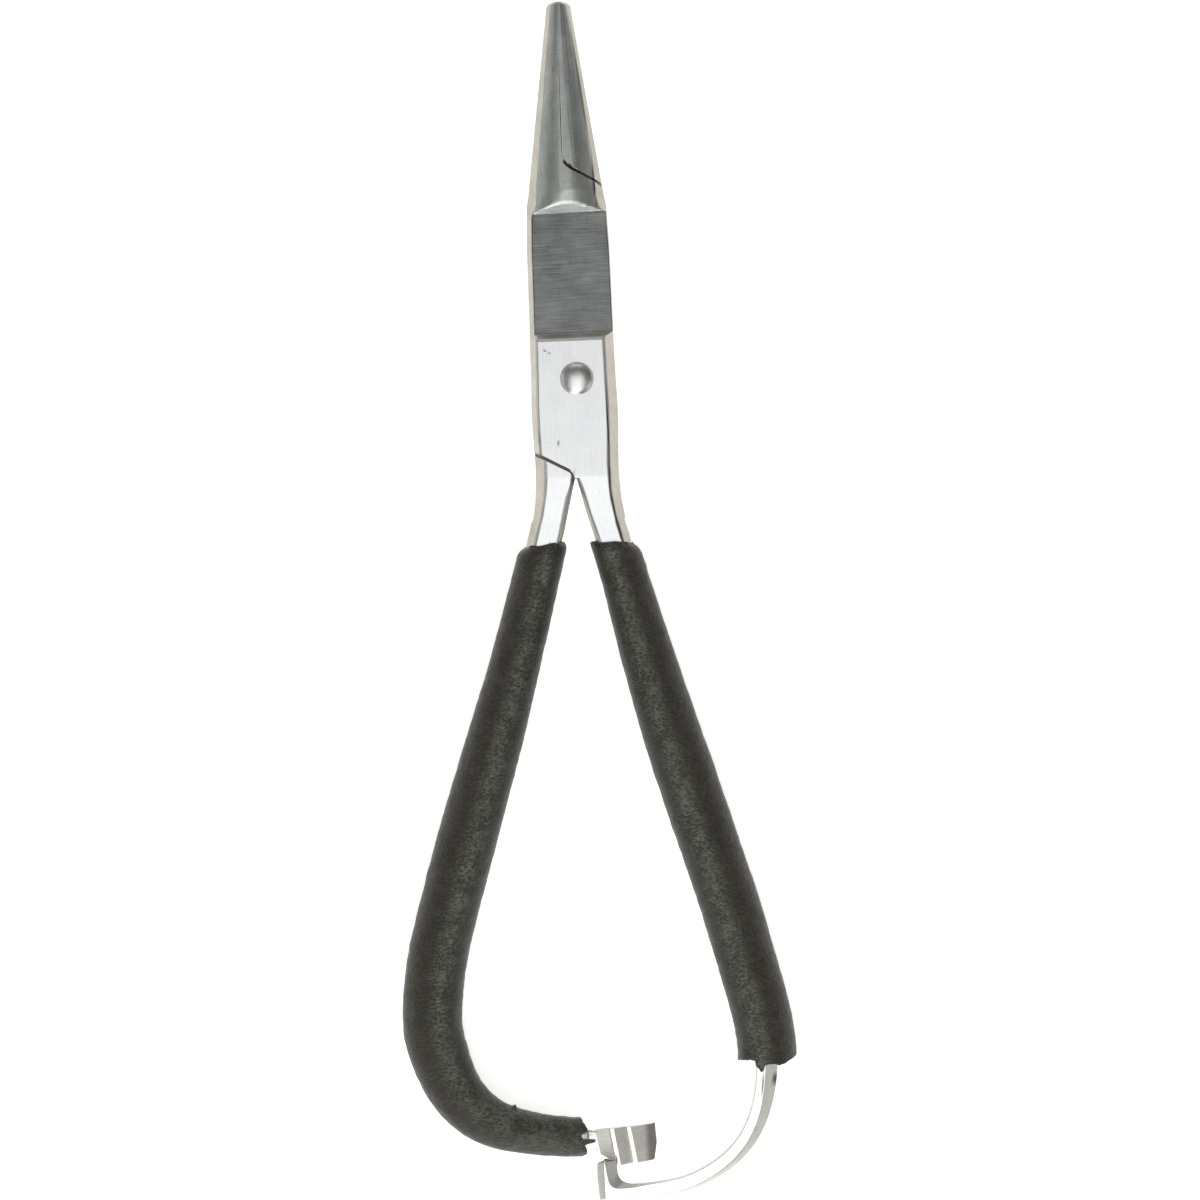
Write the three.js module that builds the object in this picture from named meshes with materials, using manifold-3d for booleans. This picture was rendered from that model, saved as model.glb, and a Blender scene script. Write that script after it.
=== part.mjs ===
// Fishing pliers: needle-nose jaws, a ground flat behind them, a riveted lap joint, two sleeved
// handles, and a ratchet at the heel that locks the jaws.
// Millimetres. The pliers lie flat with +Y from the handles to the jaw tips, +X to the right and
// +Z up from the table. Each half is built as a front half, with its jaw on the left and its
// handle on the right, and the back one is then turned half a turn about Y.
import * as THREE from "three";
import { mergeVertices } from "three/addons/utils/BufferGeometryUtils.js";
import Module from "manifold-3d";

const wasm = await Module();
wasm.setup();

// ---------------------------------------------------------------- driving dimensions

// Jaws
const jawReach = 44.2; // rivet to jaw tip
const tipHalfWidth = 1.35; // both jaws together, half the width at the tip
const jawBaseHalfWidth = 4.4;
const jawBaseY = 22; // where the straight taper of the jaws ends
const tipCrown = 1.3; // mid-plane to the top of the rounded back of the jaw
const baseCrown = 2.75;
const tipEdge = 0.75; // mid-plane to the edge of that rounded back
const baseEdge = 1.5;
const tipDraft = 0.4; // how far the forged side slopes in from the mid-plane to the edge
const jawDraft = 0.9;
const biteX = -0.2; // where the two jaws meet, off the middle of the lap
const biteGap = 0.05;

// Lap joint, with the ground flat between it and the jaws
const lapHalfWidth = 5.0;
const lapHeight = 2.3; // mid-plane to the outer face of one lap plate
const lapDraftJawSide = 0.7;
const lapDraftHandleSide = 1.15;
const lapGap = 0.08; // between the two sliding faces
const flatHeight = 1.35; // mid-plane to the ground flat
const flatTopY = 19.4;
const flatBottomY = 5.4;
const flatDraft = 1.0; // full side slope beside the flat, of which the grinding leaves part
const edgeDraft = 0.15; // the square ground side opposite
const topRampRun = 1.1; // the flat runs up to the jaw
const topRampRise = 1.4;
const lowRampRun = 0.7; // and up to the plate
const lowRampRise = 0.95;

// Shoulders, where one half's plate ends against the other half's jaw or shank
const shoulderAngle = THREE.MathUtils.degToRad(28.3);
const shoulderGap = 0.34;
const topShoulderY = 24.75; // where the bite line reaches the upper shoulder
const cornerRound = 0.9;
const lowKnee = new THREE.Vector2(-0.85, -10.5); // lower shoulder turns into the crotch
const crotchY = -11.4;

// Rivet
const rivetX = 0.4; // the rivet sits a little off the middle of the lap
const rivetRadius = 1.35;
const rivetFit = 0.06; // radial clearance in both plates
const rivetHeadRadius = 1.93;
const rivetHeadHeight = 0.95;
const rivetTailRadius = 1.7;
const rivetTailHeight = 0.35;
const rivetRim = 0.12; // straight edge under each dome
const seatGap = 0.02; // between a head and the plate under it

// Handles
const handleReach = 75; // rivet to the widest part of the bow
const bow = 19.5; // lap middle to the middle of a handle there
const shankWidth = 4.05; // each shank where it goes into its grip
const shankMiddle = 3.57; // lap middle to a shank's middle near its grip
const shankHeight = 1.75; // mid-plane to face
const shankDraftOut = 1.0;
const shankDraftIn = 0.4;
const coreHalfWidth = 1.6; // the bar inside the grip
const coreHeight = 1.35;
const coreDraft = 0.5;

// Grips
const gripStartY = -19.1;
const gripGlue = 0.2; // adhesive between the bar and the sleeve
const gripTopRadius = 2.75;
const gripRadius = 3.5;
const leftGripEndRadius = 2.3;
const rightGripEndRadius = 3.45;
const gripFlattening = 0.94; // a sleeve's height over its width
const gripMouthRound = 0.8; // rounding of the upper mouth
const leftGripEndX = -2.6;
const rightGripPast = 5.2; // right sleeve's end below the widest part of the bow

// Ratchet rack, on the end of the left handle's bar
const latchDrop = 20; // widest part of the bow down to the middle of the latch arm
const rackAboveArm = 5.3; // middle of the rack above the middle of the latch arm
const rackLength = 7.0;
const rackRight = 5.95;
const rackDepth = 4.5; // along Y
const rackNeck = 2.9; // along Y at the narrow end
const rackFloor = -0.1; // tooth valleys, above the mid-plane
const rackBack = -0.65;
const rackNoseDrop = 0.35; // the last ramp falls this much below the valleys
const toothHeight = 0.55;
const toothPitch = 2.1;
const firstTooth = -0.85; // X of the first tip, on the rack's middle line
const teeth = 3;
const catchRun = 0.42; // how far the holding face leans
const toothSlant = THREE.MathUtils.degToRad(9); // lean of the teeth across the rack
const brazeGap = 0.03;
const padHeight = 0.9; // flattened end of the bar under the rack
const tangHalfWidth = 0.8;

// Latch arm, sprung from the right handle's bar
const armRootInset = 0.35; // how much narrower the root is than the bar's core, each side
const armEndHalfWidth = 0.85;
const armRootHeight = 0.9; // mid-plane to face
const armEndHeight = 0.6;
const armRootDraft = 1.55; // outer bevel, narrowing to the hook
const armEndDraft = 0.25;
const armInnerDraft = 0.12;
const hookLeft = -0.95;
const hookWidth = 2.3;
const hookOuterDraft = 0.9;
const hookInnerDraft = 1.3;
const hookLap = 0.85; // the hook reaches this far over the rack
const pawlHeight = 0.5;
const pawlWidth = 0.9;
const pawlLength = 0.8; // along Y
const pawlRide = 0.1; // pawl above the tooth tips when the arm is at rest
const pawlCatchGap = 0.12;
const armSplitGap = 0.4; // between the bar's end and the arm's root
const armDepth = 6.8; // the arm's root above the sleeve's end

// Fineness of the rounded backs and the sleeves
const crownSteps = 10;
const roundSteps = 20;
const far = 60; // cutters reach past everything

// ---------------------------------------------------------------- solids and meshes

function toSolid(geometry) {
  const bare = geometry.clone();
  bare.deleteAttribute("normal");
  bare.deleteAttribute("uv");
  const merged = mergeVertices(bare, 1e-4);
  return new wasm.Manifold(
    new wasm.Mesh({
      numProp: 3,
      vertProperties: new Float32Array(merged.attributes.position.array),
      triVerts: new Uint32Array(merged.index.array),
    }),
  );
}

function toGeometry(solid) {
  const mesh = solid.getMesh();
  const count = mesh.vertProperties.length / mesh.numProp;
  const position = new Float32Array(count * 3);
  for (let i = 0; i < count; i++) {
    const start = i * mesh.numProp;
    position.set(mesh.vertProperties.subarray(start, start + 3), i * 3);
  }
  const geometry = new THREE.BufferGeometry();
  geometry.setAttribute("position", new THREE.BufferAttribute(position, 3));
  geometry.setIndex(new THREE.BufferAttribute(new Uint32Array(mesh.triVerts), 1));
  return geometry;
}

// A closed skin over a list of rings, each with the same number of points.
function loft(rings) {
  const perRing = rings[0].length;
  const index = [];
  for (let r = 0; r + 1 < rings.length; r++) {
    for (let k = 0; k < perRing; k++) {
      const a = r * perRing + k;
      const b = r * perRing + ((k + 1) % perRing);
      index.push(a, b, b + perRing, a, b + perRing, a + perRing);
    }
  }
  const last = (rings.length - 1) * perRing;
  for (let k = 1; k + 1 < perRing; k++) {
    index.push(0, k + 1, k);
    index.push(last, last + k, last + k + 1);
  }
  const geometry = new THREE.BufferGeometry().setFromPoints(rings.flat());
  geometry.setIndex(index);
  return outward(geometry);
}

// The solid of a closed geometry, turned inside out first where it was wound inwards.
function outward(geometry) {
  const solid = toSolid(geometry);
  if (solid.volume() > 0) return solid;
  const whole = mergeVertices(geometry);
  const index = Array.from(whole.index.array);
  for (let i = 0; i < index.length; i += 3) {
    [index[i + 1], index[i + 2]] = [index[i + 2], index[i + 1]];
  }
  whole.setIndex(index);
  return toSolid(whole);
}

// A bar's section: widest at the mid-plane, each side sloping in by its draft to the edge
// height, then a back rising to the crown height. Points are [across, up].
function forgedSection({ left, right, draftLeft, draftRight, edge, crown = edge, lift = 0 }) {
  const from = right - draftRight;
  const to = left + draftLeft;
  const back = [];
  for (let k = 0; k <= crownSteps; k++) {
    const s = k / crownSteps;
    back.push([from + (to - from) * s, edge + (crown - edge) * 4 * s * (1 - s)]);
  }
  const under = back.map(([u, z]) => [u, -z]).reverse();
  return [[right, 0], ...back, [left, 0], ...under].map(([u, z]) => [u, z + lift]);
}

function roundSection(radius) {
  return Array.from({ length: roundSteps }, (_, k) => {
    const angle = (2 * Math.PI * k) / roundSteps;
    return [radius * Math.cos(angle), radius * gripFlattening * Math.sin(angle)];
  });
}

// Stands a section on the plan, square to the way the bar runs there.
function ringAt(place, along, section) {
  return section.map(([u, z]) => {
    return new THREE.Vector3(place.x - along.y * u, place.y + along.x * u, z);
  });
}

const down = new THREE.Vector2(0, -1);
const mix = THREE.MathUtils.lerp;
const smooth = THREE.MathUtils.smoothstep;

// A smooth route through plan points, read by its share of the length.
function route(points) {
  const curve = new THREE.CatmullRomCurve3(points.map(([x, y]) => new THREE.Vector3(x, y, 0)));
  curve.arcLengthDivisions = 400;
  return {
    place: (t) => curve.getPointAt(t),
    along: (t) => {
      const tangent = curve.getTangentAt(t);
      return new THREE.Vector2(tangent.x, tangent.y).normalize();
    },
    // the share at which a measure of the place first drops to a limit
    shareWhere: (measure, limit, after = 0) => {
      const samples = 2000;
      for (let k = Math.ceil(after * samples); k <= samples; k++) {
        if (measure(curve.getPointAt(k / samples)) <= limit) return k / samples;
      }
      return 1;
    },
  };
}

function sweep(path, shares, sectionAt) {
  return shares.map((t, k) => ringAt(path.place(t), path.along(t), sectionAt(t, k)));
}

function evenly(from, to, steps) {
  return Array.from({ length: steps + 1 }, (_, k) => from + ((to - from) * k) / steps);
}

// An outline in plan, raised between two heights.
function prism(points, low = -far, high = far) {
  const shape = new THREE.Shape(points.map(([x, y]) => new THREE.Vector2(x, y)));
  const geometry = new THREE.ExtrudeGeometry(shape, { depth: high - low, bevelEnabled: false });
  geometry.translate(0, 0, low);
  return toSolid(geometry);
}

// An outline in Y and Z, run across the pliers from left to right.
function crossPrism(points) {
  const shape = new THREE.Shape(points.map(([y, z]) => new THREE.Vector2(y, z)));
  const geometry = new THREE.ExtrudeGeometry(shape, { depth: 2 * far, bevelEnabled: false });
  geometry.rotateY(Math.PI / 2);
  geometry.rotateX(Math.PI / 2);
  geometry.translate(-far, 0, 0);
  return toSolid(geometry);
}

// An outline in X and Z, run from a near Y to a far one.
function sideProfile(points, near, depth) {
  const shape = new THREE.Shape(points.map(([x, z]) => new THREE.Vector2(x, z)));
  const geometry = new THREE.ExtrudeGeometry(shape, { depth, bevelEnabled: false });
  geometry.rotateX(Math.PI / 2);
  geometry.translate(0, near + depth, 0);
  return geometry;
}

// ---------------------------------------------------------------- handle routes

// Routes are drawn for a right-hand handle, in shares of the bow and of the handle's reach.
const rightGripEndY = -(handleReach + rightGripPast);
const armSplitY = rightGripEndY + armDepth;
const armRootHalfWidth = coreHalfWidth - armRootInset;
const armY = -(handleReach + latchDrop);
const rackMiddleY = armY + rackAboveArm;
const rackLeft = rackRight - rackLength;
const tangY = rackMiddleY + rackDepth / 2 - 0.35 - tangHalfWidth;

const onBow = (bowShare, reachShare) => [bow * bowShare, -handleReach * reachShare];
const toTang = (bowShare, share) => [bow * bowShare, mix(-handleReach, tangY, share)];

const rightHandle = route([
  [shankMiddle + biteX * 0.8, gripStartY + 2],
  onBow(0.25, 0.3),
  onBow(0.343, 0.4),
  onBow(0.478, 0.533),
  onBow(0.627, 0.667),
  onBow(0.779, 0.8),
  onBow(0.912, 0.933),
  onBow(0.973, 1.0),
  onBow(0.997, 1.055),
  onBow(0.99, 1.085),
]);

const leftHandle = route([
  [shankMiddle - biteX * 0.8, gripStartY + 2],
  onBow(0.268, 0.3),
  onBow(0.376, 0.4),
  onBow(0.531, 0.533),
  onBow(0.7, 0.667),
  onBow(0.859, 0.8),
  onBow(0.969, 0.907),
  onBow(1.004, 1.0),
  toTang(0.969, 0.25),
  toTang(0.903, 0.507),
  toTang(0.8, 0.713),
  toTang(0.656, 0.86),
  toTang(0.446, 0.949),
  [-leftGripEndX + 1, tangY],
  [-rackLeft + 0.9, tangY],
]);

const latchRoute = route([
  [bow * 0.963, armSplitY - armSplitGap],
  [bow * 0.99, -handleReach - 3],
  [bow * 0.992, armY + 14],
  [bow * 0.967, armY + 10.6],
  [bow * 0.915, armY + 7.5],
  [bow * 0.83, armY + 4.9],
  [bow * 0.7, armY + 2.7],
  [bow * 0.5, armY + 0.9],
  [bow * 0.26, armY + 0.15],
  [hookLeft + hookWidth + 1.2, armY],
]);

// ---------------------------------------------------------------- halves

// The outer shape from the tips to the crotch, the same for both halves.
function headRings() {
  const jaw = (y, trim = 0) => {
    const taper = (jawReach - y) / (jawReach - jawBaseY);
    return {
      y,
      width: mix(tipHalfWidth, jawBaseHalfWidth, taper) - trim,
      draftLeft: mix(tipDraft, jawDraft, taper),
      draftRight: mix(tipDraft, jawDraft, taper),
      edge: mix(tipEdge, baseEdge, taper) - trim / 2,
      crown: mix(tipCrown, baseCrown, taper) - trim / 2,
    };
  };
  const neck = jaw(jawBaseY);
  const flat = { draftLeft: flatDraft, draftRight: edgeDraft, edge: lapHeight };
  const low = neck.edge / lapHeight; // keeps the side slope where the flat is thinner
  const lowFlat = { draftLeft: flatDraft * low, draftRight: edgeDraft * low };
  const lap = (y, trim) => ({
    y,
    width: lapHalfWidth - trim,
    draftLeft: lapDraftJawSide,
    draftRight: lapDraftHandleSide,
    edge: lapHeight,
  });
  const rings = [
    jaw(jawReach, 0.3),
    jaw(jawReach - 0.35),
    jaw(mix(jawReach, jawBaseY, 0.5)),
    neck,
    { ...neck, y: flatTopY + 0.7, width: mix(jawBaseHalfWidth, lapHalfWidth, 0.45) },
    { ...neck, ...lowFlat, y: flatTopY - 0.1, width: mix(jawBaseHalfWidth, lapHalfWidth, 0.5) },
    { ...neck, ...flat, y: flatTopY - 4, width: lapHalfWidth - 0.15 },
    { ...flat, y: flatBottomY, width: lapHalfWidth - 0.08 },
    lap(flatBottomY - lowRampRun, 0.07),
    lap(0, 0),
    lap(-3, -0.1),
    lap(-5.5, -0.08),
    lap(-8.2, 0.03),
    lap(-10, 0.1),
    lap(crotchY + 0.1, 0.08),
  ];
  return rings.map((s) =>
    ringAt(new THREE.Vector2(0, s.y), down, forgedSection({ left: -s.width, right: s.width, ...s })),
  );
}

// The shank from the crotch to where the handle's route takes over.
function shankRings(bite) {
  const reach = crotchY - gripStartY;
  return [0.02, 0.34, 0.6].map((share) => {
    const inner = bite + 1.9 * share + 0.05;
    const outer = lapHalfWidth - 0.08 + 1.35 * share * share;
    return ringAt(
      new THREE.Vector2(0, crotchY - reach * share),
      down,
      forgedSection({
        left: inner,
        right: outer,
        draftLeft: mix(0.1, shankDraftIn, smooth(share, 0, 0.4)),
        draftRight: mix(lapDraftHandleSide, shankDraftOut, share),
        edge: mix(lapHeight, shankHeight, share),
      }),
    );
  });
}

// The bar along a handle's route: shank first, then the core inside the grip.
function barSection(place, extra = 0) {
  const inside = smooth(-place.y, -gripStartY, -gripStartY + 4);
  const taper = smooth(-place.y, -crotchY, -gripStartY);
  const half = mix(shankWidth / 2, coreHalfWidth, inside) + extra;
  return {
    left: -half,
    right: half,
    draftLeft: mix(shankDraftIn, coreDraft, inside),
    draftRight: mix(shankDraftOut, coreDraft, inside),
    edge: mix(mix(lapHeight, shankHeight, taper), coreHeight, inside) + extra,
  };
}

// The upper shoulder in plan, from the bite line round the corner and out past the side.
function upperShoulder(bite, lift) {
  const slope = Math.tan(shoulderAngle);
  const y = topShoulderY + lift / Math.cos(shoulderAngle);
  const bend = new THREE.QuadraticBezierCurve(
    new THREE.Vector2(bite, y + cornerRound),
    new THREE.Vector2(bite, y - bite * slope),
    new THREE.Vector2(cornerRound, y - cornerRound * slope),
  );
  const corner = bend.getPoints(5).map((p) => [p.x, p.y]);
  return [[bite, far], ...corner, [far, y - far * slope]];
}

// The lower shoulder in plan, from past the side to the knee and down between the shanks.
function lowerShoulder(bite, sink) {
  const drop = sink / Math.cos(shoulderAngle);
  const inner = bite - 0.12 - sink * 0.5;
  return [
    [-far, lowKnee.y - drop + (far + lowKnee.x) * Math.tan(shoulderAngle)],
    [lowKnee.x, lowKnee.y - drop],
    [inner, crotchY - drop],
    [inner, -2 * far],
  ];
}

const mirrored = (points) => points.map(([x, y]) => [-x, y]);

// Where one half's metal may be: its plate in the upper layer only, its jaw and its shank
// through both.
function layers(bite) {
  const own = bite - biteGap / 2;
  const whole = [
    ...upperShoulder(own, 0),
    [far, -2 * far],
    ...lowerShoulder(bite, 0).reverse(),
    [-far, far],
  ];
  const plate = prism(whole, lapGap / 2, far);
  const jaw = prism([...mirrored(upperShoulder(-own, shoulderGap)), [-far, far]]);
  const shank = prism([...mirrored(lowerShoulder(-bite, shoulderGap)), [far, -2 * far]]);
  return plate.add(jaw.add(shank).intersect(prism(whole)));
}

// The ground flat, with a ramp up to the jaw and one up to the plate.
function groundFlat() {
  const lift = 3;
  return crossPrism([
    [flatBottomY, flatHeight],
    [flatTopY, flatHeight],
    [flatTopY + (topRampRun / topRampRise) * lift, flatHeight + lift],
    [flatBottomY - (lowRampRun / lowRampRise) * lift, flatHeight + lift],
  ]);
}

function rivetHole(x) {
  const radius = rivetRadius + rivetFit;
  const geometry = new THREE.CylinderGeometry(radius, radius, 4 * lapHeight, 32);
  geometry.rotateX(Math.PI / 2);
  geometry.translate(x, 0, 0);
  return toSolid(geometry);
}

function forgedHalf(barRings, bite, holeX) {
  const envelope = loft([...headRings(), ...shankRings(bite), ...barRings]);
  return envelope.intersect(layers(bite)).subtract(groundFlat()).subtract(rivetHole(holeX));
}

const barShares = (path, end) => evenly(0, end, 32);

function frontHalf() {
  const end = rightHandle.shareWhere((p) => p.y, armSplitY);
  const rings = sweep(rightHandle, barShares(rightHandle, end), (t) =>
    forgedSection(barSection(rightHandle.place(t))),
  );
  return forgedHalf(rings, biteX, rivetX);
}

// The back half's bar flattens into a tang where it leaves the grip, and the tang spreads into
// a pad under the rack. This half is turned over, so its own up is towards the table.
function backHalf() {
  const padLift = -(rackBack - brazeGap - padHeight / 2);
  const flat = { draftLeft: 0.2, draftRight: 0.2, edge: padHeight / 2, lift: padLift };
  const tangStart = -leftGripEndX + 1.9;
  const tangEnd = -rackLeft + 0.9;
  const rings = sweep(leftHandle, barShares(leftHandle, 1), (t) => {
    const place = leftHandle.place(t);
    const s = barSection(place);
    const thin = t > 0.5 ? 1 - smooth(place.x, tangEnd, tangStart) : 0;
    return forgedSection({
      left: mix(s.left, -tangHalfWidth, thin),
      right: mix(s.right, tangHalfWidth, thin),
      draftLeft: mix(s.draftLeft, flat.draftLeft, thin),
      draftRight: mix(s.draftRight, flat.draftRight, thin),
      edge: mix(s.edge, flat.edge, thin),
      lift: mix(0, flat.lift, thin),
    });
  });
  const pad = (x, high, low) =>
    ringAt(
      new THREE.Vector2(x, rackMiddleY),
      new THREE.Vector2(-1, 0),
      forgedSection({ left: -high, right: low, ...flat }),
    );
  const inset = 0.4;
  const wide = rackDepth / 2 - inset;
  rings.push(pad(-rackLeft - 0.3, wide - 0.2, rackNeck / 2 - inset));
  rings.push(pad(-rackLeft - 2.6, wide, wide));
  rings.push(pad(-rackRight + inset, wide, wide));
  return forgedHalf(rings, -biteX, -rivetX);
}

// ---------------------------------------------------------------- rivet and grips

function rivet() {
  const seat = lapHeight + seatGap;
  const dome = (radius, height) => {
    const arc = evenly(0, Math.PI / 2, 7).map((angle) => [
      radius * Math.cos(angle),
      seat + rivetRim + (height - rivetRim) * Math.sin(angle),
    ]);
    arc[arc.length - 1][0] = 0;
    return [[rivetRadius, seat], [radius, seat], ...arc];
  };
  const head = dome(rivetHeadRadius, rivetHeadHeight).reverse();
  const tail = dome(rivetTailRadius, rivetTailHeight).map(([r, z]) => [r, -z]);
  const profile = [...head, ...tail].map(([r, z]) => new THREE.Vector2(r, z));
  const geometry = new THREE.LatheGeometry(profile, 36);
  geometry.rotateX(Math.PI / 2);
  geometry.translate(rivetX, 0, 0);
  return outward(geometry);
}

// A moulded sleeve along a handle, with a bore the shape of the bar inside it.
function grip(path, from, to, endRadius) {
  const mouth = [0, 0.13, 0.4, 1];
  const length = -gripStartY * 4; // near enough the length of either route
  const start = mouth.map((s) => from + (gripMouthRound * s) / length);
  const shares = [...start, ...evenly(start[3] + 0.03, to, 26)];
  const radius = (t, k) => {
    const s = (t - from) / (to - from);
    const body = mix(gripTopRadius, gripRadius, smooth(s, 0, 0.45));
    const round = k < 4 ? Math.sqrt(1 - (1 - mouth[k]) ** 2) : 1;
    return mix(body, endRadius, smooth(s, 0.7, 1)) - gripMouthRound * 0.6 * (1 - round);
  };
  const outside = sweep(path, shares, (t, k) => roundSection(radius(t, k)));
  const past = 0.012; // the bore runs out of both ends
  const bore = sweep(path, evenly(from - past, Math.min(to + past, 1), 30), (t) =>
    forgedSection(barSection(path.place(t), gripGlue)),
  );
  return loft(outside).subtract(loft(bore));
}

// ---------------------------------------------------------------- ratchet

// The lean of the teeth moves a tooth along X as it crosses the rack.
const leanAt = (y) => -Math.tan(toothSlant) * (y - rackMiddleY);

// Saw teeth that rise gently from right to left, each dropping at its holding face.
function rack() {
  const profile = [
    [rackLeft - 2, rackBack],
    [rackRight + 2, rackBack],
    [rackRight + 2, rackFloor - rackNoseDrop],
    [rackRight - 0.2, rackFloor],
  ];
  for (let k = teeth - 1; k >= 0; k--) {
    const tip = firstTooth + k * toothPitch;
    profile.push([tip, rackFloor + toothHeight]);
    profile.push([tip - catchRun, rackFloor]);
  }
  profile.push([rackLeft - 2, rackFloor]);
  const bar = sideProfile(profile, -rackDepth, 2 * rackDepth);
  const shear = Math.tan(toothSlant);
  bar.applyMatrix4(new THREE.Matrix4().makeShear(0, 0, -shear, 0, 0, 0));
  bar.translate(0, rackMiddleY, 0);
  const half = rackDepth / 2;
  const top = half - 0.4;
  const plan = [
    [rackLeft + 0.5, top - rackNeck],
    [rackLeft + 2.6, -half - 0.15],
    [rackRight - 0.2, -half + 0.3],
    [rackRight + 0.15, 0],
    [rackRight, half],
    [rackLeft, top],
  ].map(([x, y]) => [x, rackMiddleY + y]);
  return outward(bar).intersect(prism(plan));
}

// The arm's section as plan points at four widths: outer edge, outer crease, inner crease,
// inner edge. The faces lie between the creases, half a thickness above and below the middle.
function armRing([outer, outerCrease, innerCrease, inner], middle, half) {
  const at = ([x, y], z) => new THREE.Vector3(x, y, z);
  return [
    at(outer, middle),
    at(outerCrease, middle + half),
    at(innerCrease, middle + half),
    at(inner, middle),
    at(innerCrease, middle - half),
    at(outerCrease, middle - half),
  ];
}

function latchArm() {
  const hookUnder = rackFloor + toothHeight + pawlRide + pawlHeight;
  const hookMiddle = hookUnder + armEndHeight;
  const rings = evenly(0, 1, 34).map((t) => {
    const place = latchRoute.place(t);
    const along = latchRoute.along(t);
    const half = mix(armRootHalfWidth, armEndHalfWidth, t);
    const outerDraft = mix(armRootDraft, armEndDraft, smooth(t, 0.1, 0.95));
    const across = (u) => [place.x - along.y * u, place.y + along.x * u];
    const plan = [half, half - outerDraft, armInnerDraft - half, -half].map(across);
    const lift = mix(0, hookMiddle, smooth(t, 0.25, 0.9));
    return armRing(plan, lift, mix(armRootHeight, armEndHeight, t));
  });
  const hookRight = hookLeft + hookWidth;
  const hookTop = rackMiddleY - rackDepth / 2 + hookLap;
  const outerY = armY - armEndHalfWidth;
  const innerY = armY + armEndHalfWidth;
  const heel = [
    [hookLeft, outerY],
    [hookLeft + hookOuterDraft, outerY + armEndDraft],
    [hookRight - hookInnerDraft * 0.57, innerY - armInnerDraft - 0.1],
    [hookRight, innerY],
  ];
  const across = [hookLeft, hookLeft + hookOuterDraft, hookRight - hookInnerDraft, hookRight];
  const top = across.map((x) => [x, hookTop]);
  rings.push(armRing(heel, hookMiddle, armEndHeight));
  rings.push(armRing(top, hookMiddle, armEndHeight));
  return loft(rings).add(pawl(hookTop, hookMiddle));
}

// The pawl stands under the hook, its holding face leaning with the rack's.
function pawl(hookTop, hookMiddle) {
  const foot = rackFloor + toothHeight + pawlRide;
  const holding = firstTooth + toothPitch - catchRun + leanAt(hookTop - pawlLength / 2);
  const right = holding - pawlCatchGap;
  const profile = [
    [right, foot],
    [right + (catchRun * (hookMiddle - foot)) / toothHeight / 2, hookMiddle],
    [right - pawlWidth, hookMiddle],
    [right - pawlWidth / 2, foot],
  ];
  return outward(sideProfile(profile, hookTop - pawlLength - 0.01, pawlLength));
}

// ---------------------------------------------------------------- assembly

const finishes = {
  steel: { color: 0xc9ccca, roughness: 0.32, metalness: 1 },
  polished: { color: 0xd8d9d6, roughness: 0.18, metalness: 1 },
  rubber: { color: 0x2c2d2a, roughness: 0.75, metalness: 0 },
};

function named(name, solid, finish, turned = false) {
  const mesh = new THREE.Mesh(toGeometry(solid), new THREE.MeshStandardMaterial(finish));
  mesh.name = name;
  if (turned) mesh.rotation.y = Math.PI;
  return mesh;
}

const byY = (p) => p.y;
const rightFrom = rightHandle.shareWhere(byY, gripStartY);
const rightTo = rightHandle.shareWhere(byY, rightGripEndY);
const leftFrom = leftHandle.shareWhere(byY, gripStartY);
const leftTo = leftHandle.shareWhere((p) => p.x, -leftGripEndX, 0.5);
const rightSleeve = grip(rightHandle, rightFrom, rightTo, rightGripEndRadius);
const leftSleeve = grip(leftHandle, leftFrom, leftTo, leftGripEndRadius);

const pliers = new THREE.Group();
pliers.add(named("front_half", frontHalf(), finishes.steel));
pliers.add(named("back_half", backHalf(), finishes.steel, true));
pliers.add(named("pivot_rivet", rivet(), finishes.polished));
pliers.add(named("right_grip", rightSleeve, finishes.rubber));
pliers.add(named("left_grip", leftSleeve, finishes.rubber, true));
pliers.add(named("ratchet_rack", rack(), finishes.polished));
pliers.add(named("latch_arm", latchArm(), finishes.polished));

// The frame's origin is on the table, under the middle of the pliers.
pliers.updateMatrixWorld(true);
const box = new THREE.Box3().setFromObject(pliers, true);
const middle = box.getCenter(new THREE.Vector3());
pliers.position.set(-middle.x, -middle.y, -box.min.z);

export default pliers;
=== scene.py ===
from math import hypot, pi, radians, tan

import bmesh
import bpy
import numpy as np
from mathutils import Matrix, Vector


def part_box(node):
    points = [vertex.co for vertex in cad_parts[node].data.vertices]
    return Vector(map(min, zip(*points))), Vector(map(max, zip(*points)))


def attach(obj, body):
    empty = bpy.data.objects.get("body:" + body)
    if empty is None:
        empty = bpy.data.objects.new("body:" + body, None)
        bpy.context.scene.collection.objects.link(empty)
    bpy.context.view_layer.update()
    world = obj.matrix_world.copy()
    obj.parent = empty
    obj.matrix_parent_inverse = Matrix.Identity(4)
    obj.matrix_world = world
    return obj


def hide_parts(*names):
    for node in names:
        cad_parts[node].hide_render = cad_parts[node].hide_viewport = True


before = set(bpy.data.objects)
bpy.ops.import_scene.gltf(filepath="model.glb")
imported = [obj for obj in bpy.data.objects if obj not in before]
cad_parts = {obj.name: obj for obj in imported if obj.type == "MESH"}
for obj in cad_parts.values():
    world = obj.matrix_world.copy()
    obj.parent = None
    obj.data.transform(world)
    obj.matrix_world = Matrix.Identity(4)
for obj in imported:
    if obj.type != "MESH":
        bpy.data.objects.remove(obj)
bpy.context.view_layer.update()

mm = 0.001

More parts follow.
